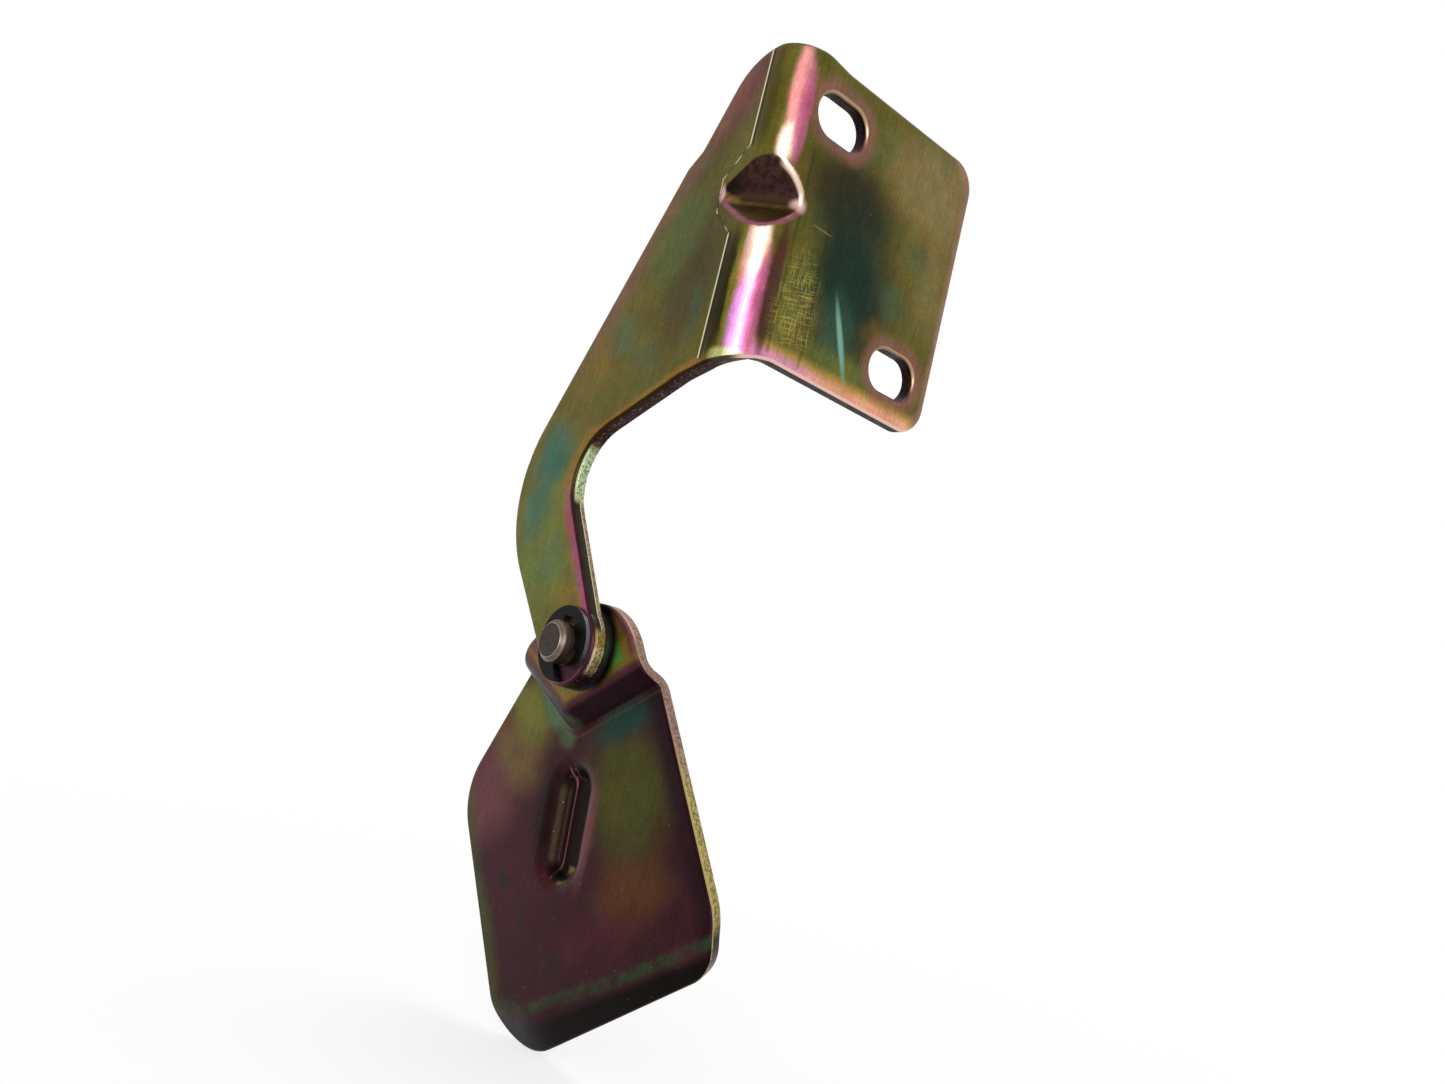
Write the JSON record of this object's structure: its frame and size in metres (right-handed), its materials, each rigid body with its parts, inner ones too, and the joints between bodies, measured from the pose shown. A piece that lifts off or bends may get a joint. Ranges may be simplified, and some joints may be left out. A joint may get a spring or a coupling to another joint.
{
  "type": "hood hinge",
  "caption": "Gooseneck hood hinge: a bent sheet arm with a slotted flange turns on a clipped pin in an offset ear of a flat body bracket.",
  "frame": {"origin": "on the rear face of the body bracket, which meets the body, in the flat beside its pressed bead", "axes": "+Y along the pivot axis, out of the body bracket's rear face; +Z along the arm's bend line, from the pivot towards the flange; +X out of the flange's bolting face"},
  "size_m": [0.0778, 0.0574, 0.1892],
  "materials": {
    "arm_zinc": "yellow zinc chromate, iridescent, satin",
    "bracket_zinc": "yellow zinc chromate, iridescent, satin",
    "pin_steel": "bare turned steel",
    "clip_black": "black phosphate spring steel",
    "washer_black": "black, slightly glossy"
  },
  "bodies": {
    "bracket": {"body_bracket": "bracket_zinc", "pivot_pin": "pin_steel", "retaining_clip": "clip_black", "spacer_washer": "washer_black"},
    "arm": {"hood_arm": "arm_zinc"}
  },
  "joints": [
    {"name": "hood_pivot", "type": "hinge", "parent": "bracket", "child": "arm", "pos_m": [-0.024, -0.011, 0.032], "axis": [0, 1, 0], "range_deg": [-20, 75]}
  ]
}
